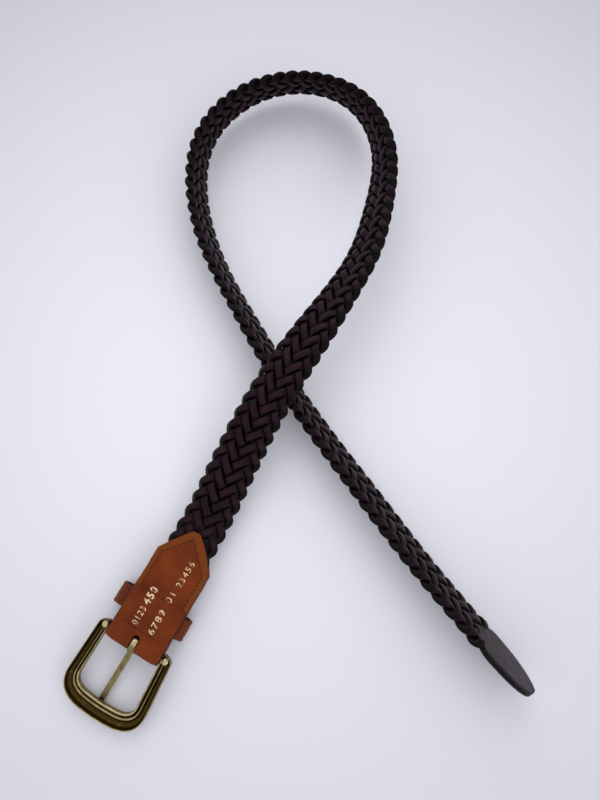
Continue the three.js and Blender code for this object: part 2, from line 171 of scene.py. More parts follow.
# How the strap lies, at equal steps from the tab's point to the tail's end: degrees turned to the
# left, degrees that the outer edge is raised, and lift as a share of the crossing's height
TURN = [1, 4, -2, -4, -1.5, 13, 22, 48, 91, 133, 169, 205, 224, 236.5, 239.5, 242.5, 246, 246, 247.5,
        250, 251]
ROLL = [0, 1, 9, 21, 40, 50, 61, 83, 106, 107, 94, 78, 69, 67, 63, 60, 60, 58, 59, 61, 65]
LIFT = [7.4 / CROSSING_HEIGHT, 0.46, 0.82, 0.97, 0.82, 0.59, 0.39, 0.25, 0.2, 0.14, 0.06, 0.02] + [0] * 9
ROUTE_STEPS = 1200

LACES = 7
LACE_WIDTH = 4.6
CROSSING_SPREAD = 2.6
LACE_THICKNESS = 1.9
LACE_CORNER = 0.7
LACE_CROWN = 0.38
SCALLOP_PITCH = 8.7
FIRST_TURN = 4.0
LACE_SWING = 12.0
TURN_SHARPNESS = 0.99
EDGE_TILT = math.radians(42)
LACE_START = 40.0
LACE_END = 861.0
LACE_ROWS = 700
CORNER_STEPS = 3

# A lace wavers as hand-laid work does, in two waves: size, rate, and lead of each lace on the last
WAVER = [(0.16, 0.113, 1.9), (0.10, 0.29, 2.7)]

# The swing is 0 at the band's middle and 1 at its edges, and the wave is 0 between its two faces. A
# lace tilts over a range of swing, and loses its extra width over other ranges of swing and of wave
TILT_SWING = (0.9, 0.995)
SPREAD_SWING = (0.86, 0.98)
SPREAD_WAVE = (0, 0.9)

# Painted shade: a lace is painted dark where it dips into the band's hollows and towards its own edges,
# where shade falls, and keeps its lighter tint on top of the band, where it is also rubbed
SHADE_WAVE = (0.2, 1)
SHADE_ACROSS = (0.45, 1.0)

# Where the laces end over the tail tip's tongue: its nose, where it is full width on each side, how
# the laces climb onto it and draw together, and how deep inside its outline they sink
TONGUE_START = 847.0
TONGUE_FULL = {-1: 862.0, 1: 861.0}
TONGUE_LEVEL = 2.2
TONGUE_CLIMB = (TONGUE_START - 3, TONGUE_START + 5)
TONGUE_SINK = (0.3, 2.8)
DRAWN_IN = 0.25
DRAWN_IN_START = TONGUE_START + 3
NOSE_HALF = 1.0
TIP_ROUND = 20.0

# Lace colours: two tones that vary at random, pale specks, and a near black for painted shade
LACE_DARK = (0.0105, 0.0026, 0.0048, 1)
LACE_LIGHT = (0.0230, 0.0070, 0.0115, 1)
LACE_DUST_AND_GLINT = (0.055, 0.034, 0.041, 1)
LACE_PAINTED_SHADE = (0.0016, 0.0004, 0.0007, 1)

# On top (1), below (-1) or turning (0) at each crossing that a lace meets, from the left edge to
# the right edge and back, seen from the back with the buckle below
WAVE = [0, 1, -1, -1, 1, 1, -1, 0, 1, -1, -1, 1, 1, -1]


def ease(x, start, end):
    """0 before start, 1 after end, and 3t^2 - 2t^3 at the share t between them."""
    t = np.clip((x - start) / (end - start), 0, 1)
    return t * t * (3 - 2 * t)


def unit(vectors):
    """Vectors divided by their lengths."""
    return vectors / np.linalg.norm(vectors, axis=-1, keepdims=True)


def through(rows, place, closed=False):
    """Smooth curve through equally spaced rows. Between two rows it eases from one to the other, and
    each adds its slope, half the difference of its neighbours, times u(1-u)^2 or u^2(1-u). On a curve
    that isn't closed, the place stays just short of the last row."""
    rows = np.asarray(rows, float)
    slope = (np.roll(rows, -1) - np.roll(rows, 1)) / 2
    if not closed:
        slope[[0, -1]] = 0
        place = np.clip(place, 0, len(rows) - 1.000001)
    row = np.floor(place).astype(int)
    u = place - row
    here, there = row % len(rows), (row + 1) % len(rows)
    bend = rows[here] + (rows[there] - rows[here]) * u * u * (3 - 2 * u)
    return bend + slope[here] * u * (1 - u) ** 2 - slope[there] * u * u * (1 - u)


def half_thickness(along):
    """Half the braid's thickness: pressed flat inside the tab, then an eased ramp to its full size."""
    full = ease(along, TAB_REACH, TAB_REACH + STRAP_WIDTH / 2)
    return (PRESSED_THICKNESS + (STRAP_THICKNESS - PRESSED_THICKNESS) * full) / 2


def lay_strap():
    """Stations along the strap: its middle, the way across it to its outer edge, and out of its back.
    The heading adds up equal steps, whose level part is what the climb leaves of the step."""
    along = np.linspace(0, STRAP_LENGTH, ROUTE_STEPS + 1)
    step = along[1]
    place = (along - TAB_REACH) / (STRAP_LENGTH - TAB_REACH) * (len(TURN) - 1)
    heading = np.radians(90 + through(TURN, place))
    roll = np.radians(through(ROLL, place))
    braid = np.hypot(STRAP_WIDTH / 2 * np.sin(roll), STRAP_THICKNESS / 2 * np.cos(roll))
    tip_stack = PRESSED_THICKNESS / 2 + FIT_GAP + TIP_LEATHER
    tip = TIP_WIDTH / 2 * np.sin(roll) + tip_stack * np.cos(roll)
    tip_start = STRAP_LENGTH - TIP_LENGTH
    rest = braid + (tip - braid) * ease(along, tip_start - TIP_LENGTH, tip_start)
    height = through(LIFT, place) * CROSSING_HEIGHT + rest
    climb = np.diff(height, prepend=height[0])
    level = np.sqrt(step**2 - climb**2)
    walk = np.where(along > 0, level, 0)
    x = np.cumsum(np.cos(heading) * walk)
    y = BAR_Y + np.cumsum(np.sin(heading) * walk)
    forward = unit(np.stack([np.cos(heading) * level, np.sin(heading) * level, climb], -1))
    right = np.stack([np.sin(heading), -np.cos(heading), np.zeros_like(heading)], -1)
    up = np.cross(right, forward)
    across = right * np.cos(roll)[:, None] + up * np.sin(roll)[:, None]
    return along, np.stack([x, y, height], -1), across, np.cross(across, forward)


stations, strap_middle, strap_across, strap_back = lay_strap()


def on_strap(across, along, back):
    """Points of the strap: its middle at a distance along it, moved across it and out of its back."""
    def at(column):
        return np.stack([np.interp(along, stations, column[:, k]) for k in range(3)], -1)

    across_way, back_way = unit(at(strap_across)), unit(at(strap_back))
    return at(strap_middle) + across_way * across[..., None] + back_way * back[..., None]


def strip_outline(columns):
    """Section of a strip with round corners, anticlockwise. Each row holds the corner's or column's
    share of the half width and half thickness, and its unit offset, cos and sin round the corner."""
    a = np.linspace(0, np.pi / 2, CORNER_STEPS + 1)
    flat = np.linspace(1, -1, columns + 1)[1:-1]

    def corner(side, face, turn):
        shares = [np.full_like(a, side), np.full_like(a, face)]
        return np.stack(shares + [np.cos(a + turn), np.sin(a + turn)], -1)

    def straight(shares, face):
        return np.stack([shares, np.full_like(shares, face), 0 * shares, np.full_like(shares, face)], -1)

    parts = [corner(1, 1, 0), straight(flat, 1), corner(-1, 1, np.pi / 2)]
    parts += [corner(-1, -1, np.pi), straight(-flat, -1), corner(1, -1, 1.5 * np.pi)]
    return np.concatenate(parts)


def strip_section(outline, half_width, half_thick, corner):
    """Places across and through a strip, one row for each half width: share times the half size less
    the corner, plus the offset times the corner."""
    share_across, share_through, offset_across, offset_through = outline.T
    half_width = np.asarray(half_width, float)[..., None]
    half_thick = np.asarray(half_thick, float)[..., None]
    u = share_across * (half_width - corner) + offset_across * corner
    v = share_through * (half_thick - corner) + offset_through * corner
    return np.broadcast_arrays(u, v)


def closed_skin(rings):
    """Points and faces of a closed skin: four-cornered faces between neighbouring rings, and a fan of
    triangles from the middle of each end ring."""
    rows, size = rings.shape[:2]
    ring, j = np.meshgrid(np.arange(rows - 1), np.arange(size), indexing="ij")
    a = ring * size + j
    b = ring * size + (j + 1) % size
    sides = np.stack([a, b, b + size, a + size], -1).reshape(-1, 4)
    j = np.arange(size)
    follow = (j + 1) % size
    first = np.stack([follow, j, np.full(size, rows * size)], -1)
    last = np.stack([j, follow, np.full(size, size + 1)], -1) + (rows - 1) * size
    points = np.concatenate([rings.reshape(-1, 3), rings[[0, -1]].mean(axis=1)])
    return points, sides.tolist() + first.tolist() + last.tolist()


def with_ends(shade, end):
    """A shade for every point of a closed skin: that of its rings, and one for its two end middles."""
    return np.concatenate([shade.ravel(), [end, end]])


def make_piece(name, points, faces, body, finish, slot=None, **shades):
    """Smooth-shaded object from points in millimetres, its doubles merged and its faces turned outward.
    Each shade is a number for every point, kept as an attribute that the material reads."""
    mesh = bpy.data.meshes.new(name)
    mesh.from_pydata((points * MM).tolist(), [], faces)
    for key, values in shades.items():
        mesh.attributes.new(key, "FLOAT", "POINT").data.foreach_set("value", values)
    work = bmesh.new()
    work.from_mesh(mesh)
    bmesh.ops.remove_doubles(work, verts=work.verts, dist=1e-7)
    bmesh.ops.recalc_face_normals(work, faces=work.faces)
    work.to_mesh(mesh)
    work.free()
    mesh.shade_smooth()
    mesh.materials.append(finish)
    piece = bpy.data.objects.new(name, mesh)
    scene.collection.objects.link(piece)
    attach(piece, body)
    return piece


def read_shade(tree, name):
    """Value of a piece's attribute."""
    return add_node(tree, "ShaderNodeAttribute", {}, attribute_name=name).outputs["Fac"]


def add_grain(tree, shader, height, depth):
    """Raises the surface by a pattern, its full depth in millimetres."""
    inputs = {"Distance": depth * MM, "Height": height}
    tree.links.new(add_node(tree, "ShaderNodeBump", inputs).outputs["Normal"], shader.inputs["Normal"])


def tongue_half(along, side):
    """Half width of the tail tip's tongue on one side of its middle: it widens from its nose as a
    sine, and ends in an ellipse."""
    grow = np.clip((along - TONGUE_START) / (TONGUE_FULL[side] - TONGUE_START), 0, 1)
    half = NOSE_HALF + (TIP_WIDTH / 2 - NOSE_HALF) * np.sin(grow * np.pi / 2)
    round_share = np.clip((along - (STRAP_LENGTH - TIP_ROUND)) / TIP_ROUND, 0, 1)
    return half * np.sqrt(1 - round_share**2)


def lace_rings(number):
    """One lace: across is the arcsine of a cosine, a zigzag with round turns, and the rise follows
    WAVE. Its section stands square to its way, tilts outward where the lace turns at an edge, and is
    widest where the lace goes from one side of the band to the other. At the tail it climbs over the
    tongue, and sinks where it comes inside the tongue's outline."""
    along = np.linspace(LACE_START, LACE_END, LACE_ROWS)
    phase = (along - FIRST_TURN) / (LACES * SCALLOP_PITCH) + number / LACES
    swing = np.cos(2 * np.pi * phase)
    zigzag = np.arcsin(TURN_SHARPNESS * swing) / np.arcsin(TURN_SHARPNESS)
    drift = sum(size * np.sin(rate * along + lead * number) for size, rate, lead in WAVER)
    across = drift - LACE_SWING * zigzag * (1 - DRAWN_IN * ease(along, DRAWN_IN_START, LACE_END))
    level = half_thickness(along) - LACE_THICKNESS / 2 - LACE_CROWN / 2
    level = level + (TONGUE_LEVEL - level) * ease(along, *TONGUE_CLIMB)
    tongue = np.where(across < 0, tongue_half(along, -1), tongue_half(along, 1))
    sunk = ease(tongue - np.abs(across), *TONGUE_SINK) * (along > TONGUE_START)
    wave = through(WAVE, phase * len(WAVE), closed=True)
    middle = np.stack([across, along, level * wave * (1 - sunk)], -1)
    forward = unit(np.gradient(middle, axis=0))
    tilt = EDGE_TILT * ease(np.abs(swing), *TILT_SWING) * (1 - sunk)
    facing = np.stack([-np.sign(swing) * np.sin(tilt), 0 * tilt, np.cos(tilt)], -1)
    side = unit(np.cross(forward, facing))
    face = np.cross(side, forward)
    outline = strip_outline(4)
    between = (1 - ease(np.abs(wave), *SPREAD_WAVE)) * (1 - ease(np.abs(swing), *SPREAD_SWING))
    half = (LACE_WIDTH + CROSSING_SPREAD * between) / 2
    u, v = strip_section(outline, half, LACE_THICKNESS / 2, LACE_CORNER)
    v = v + np.sign(v) * LACE_CROWN * (1 - (u / half[:, None]) ** 2)
    local = middle[:, None] + side[:, None] * u[..., None] + face[:, None] * v[..., None]
    # Painted shade: share of the lace's own tint, lowest where it dips into the hollows and at its edges
    wear = ease(np.abs(wave), *SHADE_WAVE)[:, None] * (1 - ease(np.abs(u / half[:, None]), *SHADE_ACROSS))
    return on_strap(local[..., 0], local[..., 1], local[..., 2]), wear


lace_leather, tree, shader = start_finish("lace_leather", specular=0.085)
cloud = spread(tree, noise(tree, 90, 4), 0.35, 0.65)
lace_tint = blend_colours(tree, cloud, LACE_DARK, LACE_LIGHT)
# Pale specks: partly dust and partly painted glints of light on the laces
dust_and_glint = spread(tree, noise(tree, 1100, 3, 0.7), 0.60, 0.78, 0, 0.45)
lace_tint = blend_colours(tree, dust_and_glint, lace_tint, LACE_DUST_AND_GLINT)
# Painted shade: the lace's tint goes to near black in the hollows and at its edges
lace_tint = blend_colours(tree, read_shade(tree, "wear"), LACE_PAINTED_SHADE, lace_tint)
tree.links.new(lace_tint, shader.inputs["Base Color"])
tree.links.new(spread(tree, noise(tree, 240, 4), 0.3, 0.7, 0.26, 0.40), shader.inputs["Roughness"])
add_grain(tree, shader, noise(tree, 1700, 4, 0.6), 0.09)

for number in range(LACES):
    rings, wear = lace_rings(number)
    points, faces = closed_skin(rings)
    name = f"lace_{number + 1}"
    lace = make_piece(name, points, faces, "belt", lace_leather, "braid_leather", wear=with_ends(wear, 0))
    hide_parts("braided_strap")

# Tail tip: two tongues of smooth dark leather, glued and sewn together, which start in a narrow
# nose inside the end of the braid. The last laces run over them and are tucked into their faces,
# and their cut edges are dyed darker.
TIP_CORNER = 0.5
TIP_CORNER_SHARE = 0.6
TIP_ROWS = 110
TIP_LAST_RING = 0.9995
TIP_FULLNESS = 0.3
TIP_FULL_FROM = 870.0
TIP_DARK = (0.0125, 0.0065, 0.0085, 1)
TIP_LIGHT = (0.019, 0.011, 0.0135, 1)
TIP_DYED_EDGE = (0.003, 0.002, 0.002, 1)


def tip_rings(side):
    """One tongue: its outline is tongue_half on each side of the strap's middle, and it lies close
    to the strap's middle plane, with a little fullness that dies out at its edges. Its last ring
    stops just short of its end, where it would have no width."""
    straight = np.linspace(TONGUE_START - 1, STRAP_LENGTH - TIP_ROUND, TIP_ROWS)
    curved = STRAP_LENGTH - TIP_ROUND + TIP_ROUND * TIP_LAST_RING * np.sin(np.linspace(0, np.pi / 2, 40))
    along = np.concatenate([straight[:-1], curved])
    inner_half, outer_half = tongue_half(along, -1), tongue_half(along, 1)
    half = (inner_half + outer_half) / 2
    outline = strip_outline(14)
    corner = np.minimum(TIP_CORNER, half * TIP_CORNER_SHARE)[:, None]
    u, v = strip_section(outline, half, TIP_LEATHER / 2, corner)
    risen = ease(along, TONGUE_START, TIP_FULL_FROM)[:, None]
    fullness = TIP_FULLNESS * (1 - (u / half[:, None]) ** 2) * risen
    back = side * (FIT_GAP / 2 + TIP_LEATHER / 2 + fullness) + v
    u = u + ((outer_half - inner_half) / 2)[:, None]
    rim = np.broadcast_to(np.abs(outline[:, 2]), u.shape)
    return on_strap(u, np.broadcast_to(along[:, None], u.shape), back), rim


tip_leather, tree, shader = start_finish("tip_leather", specular=0.19)
cloud = spread(tree, noise(tree, 55, 3), 0.3, 0.7)
tip_tint = blend_colours(tree, cloud, TIP_DARK, TIP_LIGHT)
cut_edge = spread(tree, read_shade(tree, "rim"), 0.5, 0.9)
tip_tint = blend_colours(tree, cut_edge, tip_tint, TIP_DYED_EDGE)
tree.links.new(tip_tint, shader.inputs["Base Color"])
tree.links.new(spread(tree, noise(tree, 150, 3), 0.3, 0.7, 0.42, 0.52), shader.inputs["Roughness"])
add_grain(tree, shader, noise(tree, 1900, 3), 0.05)

for name, side in (("tip_back_leather", 1), ("tip_front_leather", -1)):
    rings, rim = tip_rings(side)
    points, faces = closed_skin(rings)
    tip = make_piece(name, points, faces, "belt", tip_leather, "tip_leather", rim=with_ends(rim, 1))
    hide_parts("tip_back" if side > 0 else "tip_front")

# Buckle tab: one strip of tan leather folded round the buckle's bar, with a slot for the prong,
# both layers cut to a blunt point and sewn through the end of the braid. The stitches draw the
# leather down, so that it stands up a little between them.
LEATHER = 1.6
TAB_WIDTH = 32.4
TAB_POINT = 17.0
TAB_POINT_BULGE = 1.2
TAB_APEX_WIDTH = 4.0
TAB_APEX_OFFSET = -1.2
TAB_CORNER = 0.45
TAB_FOLD = 2.8
TAB_END = BAR_Y + TAB_REACH
SLOT_WIDTH = 4.4
SLOT_BACK_REACH = 4.6
SLOT_FRONT_REACH = 8.0
POINT_THINNING = 0.55
LAST_ROW_GAP = 0.4
SCUFF = (0.25, 0.08, 0.035, 1)

# The stitch lines: their inset from the sides, the two lines across the tab, and the pentagon's
# shoulder and apex
SEAM_INSET = 3.0
SEAM_HALF = TAB_WIDTH / 2 - SEAM_INSET
FOLD_SEAM_Y = -11.2
CROSS_SEAM_Y = 8.2
SEAM_SHOULDER_Y = 28.4
SEAM_APEX = (-1.2, 42.6)

# How far the leather stands up between the stitches, how far from them it is at that height, how far
# outside the cut edge it would be flat, and how its colour goes over into the margin's
PILLOW = 0.9
PILLOW_REACH = 6.5
PILLOW_PAST_EDGE = 1.0
MARGIN_BLEND = (-0.6, 1.2)

# The cut edges waver a little, in two waves: size, and rate along the tab
SLOW_WAVER = (0.10, 0.33)
QUICK_WAVER = (0.06, 0.9)

# A slot narrower than this is shut
SHUT = 1e-6


def tab_half_width(y, mirror):
    """The tab's width on one side of its middle: straight, then the quadratic curve of its point,
    read off by its y. The point's end lies a little to the left."""
    shoulder = TAB_END - TAB_POINT
    t = np.linspace(0, 1, 80)
    control_x = (TAB_WIDTH / 2 + TAB_APEX_WIDTH / 2) / 2 + TAB_POINT_BULGE
    control_y = (shoulder + TAB_END) / 2 + TAB_POINT_BULGE
    apex = TAB_APEX_WIDTH / 2 + mirror * TAB_APEX_OFFSET
    x = (1 - t) ** 2 * TAB_WIDTH / 2 + 2 * t * (1 - t) * control_x + t * t * apex
    curve_y = (1 - t) ** 2 * shoulder + 2 * t * (1 - t) * control_y + t * t * TAB_END
    return np.interp(y, curve_y, x)


def seam_distance(x, y):
    """Distance from the stitch lines into the sewn fields, and below 0 in the margins. The fields are
    the pentagon of the point, the band across the tab, and the fold."""
    apex_x, apex_y = SEAM_APEX
    run = SEAM_HALF - np.sign(x - apex_x) * apex_x
    climb = apex_y - SEAM_SHOULDER_Y
    to_point = ((apex_y - y) * run - np.abs(x - apex_x) * climb) / np.hypot(run, climb)
    to_edge = TAB_WIDTH / 2 + PILLOW_PAST_EDGE - np.abs(x)
    pentagon = np.minimum(np.minimum(to_point, SEAM_HALF - np.abs(x)), y - CROSS_SEAM_Y)
    band = np.minimum(np.minimum(CROSS_SEAM_Y - y, y - FOLD_SEAM_Y), to_edge)
    fold = np.minimum(FOLD_SEAM_Y - y, to_edge)
    return np.maximum(np.maximum(pentagon, band), fold)


def tab_pillow(x, y):
    """How far the leather stands up: the sine of its distance from the nearest stitch line, up to a
    reach."""
    return PILLOW * np.sin(np.clip(seam_distance(x, y) / PILLOW_REACH, 0, 1) * np.pi / 2)


def slot_half_width(y, reach):
    """Half the slot's width: straight, and then a half circle up to its reach past the bar."""
    half = SLOT_WIDTH / 2
    past = np.clip((y - (BAR_Y + reach - half)) / half, 0, 1)
    return half * np.sqrt(1 - past**2)


def tab_rows(reach):
    """Places along one layer, closest together where its outline or its slot curves."""
    half = SLOT_WIDTH / 2
    slot_end = BAR_Y + reach
    slot_curve = slot_end - half + half * np.sin(np.linspace(0, np.pi / 2, 9))
    straight = np.linspace(slot_end + 1, TAB_END - TAB_POINT, 46)
    point = np.linspace(TAB_END - TAB_POINT, TAB_END - LAST_ROW_GAP, 26)
    slot_sides = np.linspace(BAR_Y, slot_end - half, 8)
    return np.unique(np.concatenate([slot_sides, slot_curve, straight, point, [TAB_END]]))


def tab_half(mirror):
    """Half of the tab, left or right of the prong: rings across the strip, from the back layer's point
    round the fold to the front layer's point. The slot parts the halves where it is open."""
    back_y = tab_rows(SLOT_BACK_REACH)[::-1]
    front_y = tab_rows(SLOT_FRONT_REACH)
    angle = np.radians(np.linspace(90, 270, 22))[1:-1]
    flat_y = np.concatenate([back_y, np.full_like(angle, BAR_Y), front_y])
    normal = np.concatenate([np.full_like(back_y, np.pi / 2), angle, np.full_like(front_y, -np.pi / 2)])
    middle_y = flat_y + TAB_FOLD * np.cos(normal)
    middle_z = BAR_HEIGHT + TAB_FOLD * np.sin(normal)
    back_reach = np.full_like(back_y, SLOT_BACK_REACH)
    front_reach = np.full(len(angle) + len(front_y), SLOT_FRONT_REACH)
    slot = slot_half_width(flat_y, np.concatenate([back_reach, front_reach]))
    width = tab_half_width(flat_y, mirror)
    width = width + SLOW_WAVER[0] * np.sin(SLOW_WAVER[1] * flat_y + mirror)
    width = width + QUICK_WAVER[0] * np.sin(QUICK_WAVER[1] * flat_y)
    a = np.linspace(0, np.pi / 2, CORNER_STEPS + 1)
    columns = np.linspace(0, 1, 15)[:-1]
    top = np.stack([columns, 0 * columns + 1, 0 * columns, 0 * columns + 1], -1)
    turn_down = np.stack([0 * a + 1, 0 * a + 1, np.sin(a), np.cos(a)], -1)
    upper = np.concatenate([top, turn_down])
    outline = np.concatenate([upper, upper[::-1] * (1, -1, 1, -1)])
    share_across, share_through, offset_across, offset_through = outline.T
    x = slot[:, None] + share_across * (width - TAB_CORNER - slot)[:, None] + offset_across * TAB_CORNER
    thin = np.where(flat_y < TAB_END, 1, POINT_THINNING)[:, None]
    v = (share_through * (LEATHER / 2 - TAB_CORNER) + offset_through * TAB_CORNER) * thin
    v = v + tab_pillow(mirror * x, middle_y[:, None])
    margin = ease(-seam_distance(mirror * x, middle_y[:, None]), *MARGIN_BLEND)
    y = middle_y[:, None] + np.cos(normal)[:, None] * v
    z = middle_z[:, None] + np.sin(normal)[:, None] * v
    rings = np.stack([mirror * x, y, z], -1)
    rim = np.broadcast_to(offset_across, x.shape)
    return rings, rim, margin, slot


def join_skins(skins):
    """Several skins as one mesh. Each holds its points, its faces, and any shades of its points."""
    firsts = np.cumsum([0] + [len(skin[0]) for skin in skins]).tolist()
    faces = [[corner + first for corner in face] for skin, first in zip(skins, firsts) for face in skin[1]]
    points, _, *shades = zip(*skins)
    return np.concatenate(points), faces, *[np.concatenate(shade) for shade in shades]


def tab_mesh():
    """Both halves as one skin. Where the slot is closed the wall between the halves is left out, and
    their middle points meet."""
    halves = []
    for mirror in (-1, 1):
        rings, rim, margin, slot = tab_half(mirror)
        points, faces = closed_skin(rings)
        rows, size = rings.shape[:2]
        wall = np.arange(rows - 1) * size + size - 1
        left_out = set(wall[(slot[:-1] < SHUT) & (slot[1:] < SHUT)].tolist())
        faces = [face for number, face in enumerate(faces) if number not in left_out]
        halves.append((points, faces, with_ends(rim, 1), with_ends(margin, 1)))
    return join_skins(halves)


def tan_finish(name, light, dark, margin, edge):
    """Cognac leather: two browns in soft clouds, its own brown in the margins, darker at cut edges,
    with fine pores and scuffs."""
    material, tree, shader = start_finish(name, specular=0.1)
    tint = blend_colours(tree, spread(tree, noise(tree, 70, 3), 0.3, 0.7), dark, light)
    tint = blend_colours(tree, read_shade(tree, "margin"), tint, margin)
    speck = spread(tree, noise(tree, 1300, 3, 0.7), 0.62, 0.78, 0, 0.3)
    tint = blend_colours(tree, speck, tint, SCUFF)
    tint = blend_colours(tree, spread(tree, read_shade(tree, "rim"), 0.55, 1.0), tint, edge)
    tree.links.new(tint, shader.inputs["Base Color"])
    tree.links.new(spread(tree, noise(tree, 300, 4), 0.3, 0.7, 0.30, 0.42), shader.inputs["Roughness"])
    add_grain(tree, shader, noise(tree, 1500, 4, 0.65), 0.07)
    return material


tab_leather = tan_finish(
    "tab_leather",
    light=(0.168, 0.030, 0.0030, 1),
    dark=(0.095, 0.0145, 0.0017, 1),
    margin=(0.155, 0.035, 0.0028, 1),
    edge=(0.05, 0.010, 0.002, 1),
)
points, faces, rim, margin = tab_mesh()
tab = make_piece("tab_leather", points, faces, "belt", tab_leather, "tan_leather", rim=rim, margin=margin)
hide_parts("buckle_tab")

# Tab stitching: dark waxed thread in short even stitches, through both layers and the braid. It
# runs once round the tab's point in a closed pentagon, and once across it near the fold.
STITCH_PITCH = 2.2
STITCH_LENGTH = 1.75
THREAD_RADIUS = 0.24
THREAD_TAPER = 0.98
THREAD_RISE = 0.02
THREAD_DIVE = 0.5
THREAD_DARK = (0.020, 0.0030, 0.0018, 1)
THREAD_LIGHT = (0.045, 0.0075, 0.0040, 1)


def stitches_between(start, end):
    """Middles and directions of equal stitches on a straight line."""
    start, end = np.array(start), np.array(end)
    length = np.linalg.norm(end - start)
    count = max(1, round(length / STITCH_PITCH))
    share = (np.arange(count) + 0.5) / count
    return start + (end - start) * share[:, None], np.repeat((end - start)[None] / length, count, 0)


def stitch_mesh(middles, ways, facing):
    """Every stitch as a closed tube whose ends dive: its depth grows with the fourth power of the
    distance from its middle, and its radius is the root of 1 less the sixth power of it."""
    along = np.linspace(-1, 1, 9)
    angle = np.linspace(0, 2 * np.pi, 8, endpoint=False)
    radius = THREAD_RADIUS * np.sqrt(1 - (THREAD_TAPER * along) ** 6)
    half = STITCH_LENGTH / 2
    side = np.stack([-ways[:, 1], ways[:, 0]], -1)
    flat = middles[:, None] + ways[:, None] * (along * half)[None, :, None]
    flat = flat[:, :, None] + side[:, None, None] * (radius[:, None] * np.cos(angle))[None, ..., None]
    height = tab_pillow(flat[..., 0], flat[..., 1]) + TAB_FOLD + LEATHER / 2
    height = height + THREAD_RISE - THREAD_DIVE * along[:, None] ** 4 + radius[:, None] * np.sin(angle)
    rings = np.concatenate([flat, (BAR_HEIGHT + facing * height)[..., None]], -1)
    return join_skins([closed_skin(stitch) for stitch in rings])


corners = [(-SEAM_HALF, CROSS_SEAM_Y), (-SEAM_HALF, SEAM_SHOULDER_Y), SEAM_APEX]
corners += [(SEAM_HALF, SEAM_SHOULDER_Y), (SEAM_HALF, CROSS_SEAM_Y), (-SEAM_HALF, CROSS_SEAM_Y)]
lines = list(zip(corners, corners[1:]))
lines.append(((-SEAM_HALF, FOLD_SEAM_Y), (SEAM_HALF, FOLD_SEAM_Y)))
stitched = [stitches_between(start, end) for start, end in lines]
middles = np.concatenate([m for m, _ in stitched])
ways = np.concatenate([w for _, w in stitched])

waxed_thread, tree, shader = start_finish("waxed_thread", roughness=0.6, specular=0.1)
cloud = spread(tree, noise(tree, 900), 0.3, 0.7)
thread_tint = blend_colours(tree, cloud, THREAD_DARK, THREAD_LIGHT)
tree.links.new(thread_tint, shader.inputs["Base Color"])
add_grain(tree, shader, noise(tree, 3500, 2), 0.08)
for name, facing in (("tab_stitching_back", 1), ("tab_stitching_front", -1)):
    points, faces = stitch_mesh(middles, ways, facing)
    make_piece(name, points, faces, "belt", waxed_thread)

# Foil numbers: plain numbers pressed into the tab's back in thin gold foil, in two lines along the
# tab. They are rubbed away in places, where the leather shows through.
FOIL_RISE = 0.04
FOIL_SPACING = 1.25
FOIL_GOLD = (0.80, 0.62, 0.33, 1)
FOIL_RUBBED = (0.20, 0.05, 0.013, 1)

# Number, place of its middle across and along the tab, its length, its height, and its boldness
FOIL = [
    ("0123", -5.2, -5.0, 9.6, 3.4, 0.0),
    ("450", -5.5, 6.4, 9.4, 4.4, 0.03),
    ("6789", 4.9, -3.3, 13.2, 3.6, 0.008),
    ("01", 4.3, 10.6, 5.4, 3.6, 0.0),
    ("23456", 5.0, 24.7, 14.4, 3.4, 0.0),
]


def foil_number(text, across, along, length, height, boldness):
    """Flat filled number, stretched to its length and height, read along the tab with its top to the
    left, and laid on the leather's rise."""
    curve = bpy.data.curves.new("number", "FONT")
    curve.body = text
    curve.offset = boldness
    curve.space_character = FOIL_SPACING
    letter = bpy.data.objects.new("number", curve)
    scene.collection.objects.link(letter)
    bpy.context.view_layer.update()
    flat = letter.evaluated_get(bpy.context.evaluated_depsgraph_get()).to_mesh()
    flat.calc_loop_triangles()
    at = np.empty(len(flat.vertices) * 3)
    flat.vertices.foreach_get("co", at)
    corners = np.empty(len(flat.loop_triangles) * 3, np.int32)
    flat.loop_triangles.foreach_get("vertices", corners)
    at = at.reshape(-1, 3)
    bpy.data.objects.remove(letter)
    low, high = at.min(axis=0), at.max(axis=0)
    share = (at[:, :2] - low[:2]) / (high[:2] - low[:2]) - 0.5
    x = across - share[:, 1] * height
    y = along + share[:, 0] * length
    z = BAR_HEIGHT + TAB_FOLD + LEATHER / 2 + tab_pillow(x, y) + FOIL_RISE
    return np.stack([x, y, z], -1), corners.reshape(-1, 3).tolist()


points, faces = join_skins([foil_number(*row) for row in FOIL])
foil_finish, tree, shader = start_finish("gold_foil")
kept = spread(tree, noise(tree, 420, 5, 0.7), 0.40, 0.52)
foil_tint = blend_colours(tree, kept, FOIL_RUBBED, FOIL_GOLD)
tree.links.new(foil_tint, shader.inputs["Base Color"])
tree.links.new(spread(tree, kept, 0, 1, 0, 0.75), shader.inputs["Metallic"])
tree.links.new(spread(tree, kept, 0, 1, 0.42, 0.35), shader.inputs["Roughness"])
make_piece("foil_numbers", points, faces, "belt", foil_finish)

# Keeper: a narrow strip of the same tan leather bent into a flat loop for the belt's tail. Its ends
# overlap between the tab's two layers, where they are glued, and a line is creased near each edge.
# It has slid a little toward the buckle and to the left, where it stands out farther.
KEEPER_WIDTH = 11.5
KEEPER_SIDE = 21.3
KEEPER_LEFT_SIDE = 22.8
KEEPER_SHIFT = (-0.8, -0.9)
KEEPER_CORNER = 0.4
TAIL_ROOM = 4.8
CREASE_INSET = 2.3
CREASE_WIDTH = 0.45
CREASE_DEPTH = 0.28
CREASE_DARKENING = 0.85

# Where the strip's first end starts and its last end stops, how far the first is raised to lie over
# the last, and where it comes down again
LAP_FROM = -15.0
LAP_TO = 4.0
LAP_RISE = 1.72
LAP_SLOPE = (5.0, 14.5)


